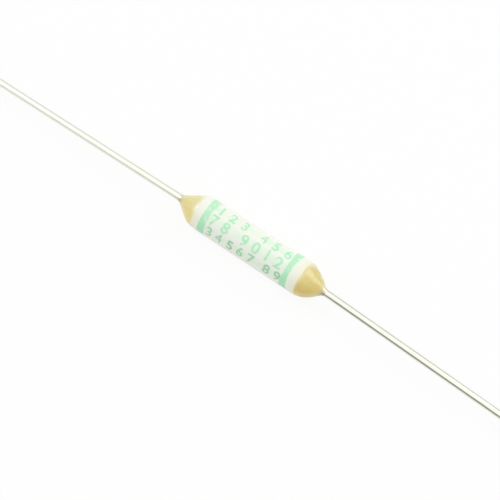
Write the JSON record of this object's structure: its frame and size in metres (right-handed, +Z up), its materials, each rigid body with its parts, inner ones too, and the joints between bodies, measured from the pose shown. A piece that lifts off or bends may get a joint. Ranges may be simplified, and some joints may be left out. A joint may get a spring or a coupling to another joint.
{
  "type": "thermal fuse",
  "caption": "Axial thermal fuse: a white ceramic tube with green printed rings, domed honey-coloured resin seals at both ends and a straight tinned wire lead out of each.",
  "frame": {"origin": "on the surface that the fuse lies on, below the middle of the ceramic tube", "axes": "+X along the tube towards the fuller seal and the lead that turns a little towards -Y, +Z up from the surface it lies on"},
  "size_m": [0.0686, 0.0026, 0.0026],
  "materials": {
    "ceramic": "satin",
    "tinned_wire": "gloss",
    "fusible_alloy": "satin",
    "flux": "gloss",
    "sealing_resin": "gloss",
    "green_ink": "satin"
  },
  "bodies": {
    "root": {"ceramic_tube": "ceramic", "lead_left": "tinned_wire", "lead_right": "tinned_wire", "fusible_link": "fusible_alloy", "flux_jacket": "flux", "seal_left": "sealing_resin", "seal_right": "sealing_resin", "band_left": "green_ink", "band_right": "green_ink"}
  },
  "joints": []
}
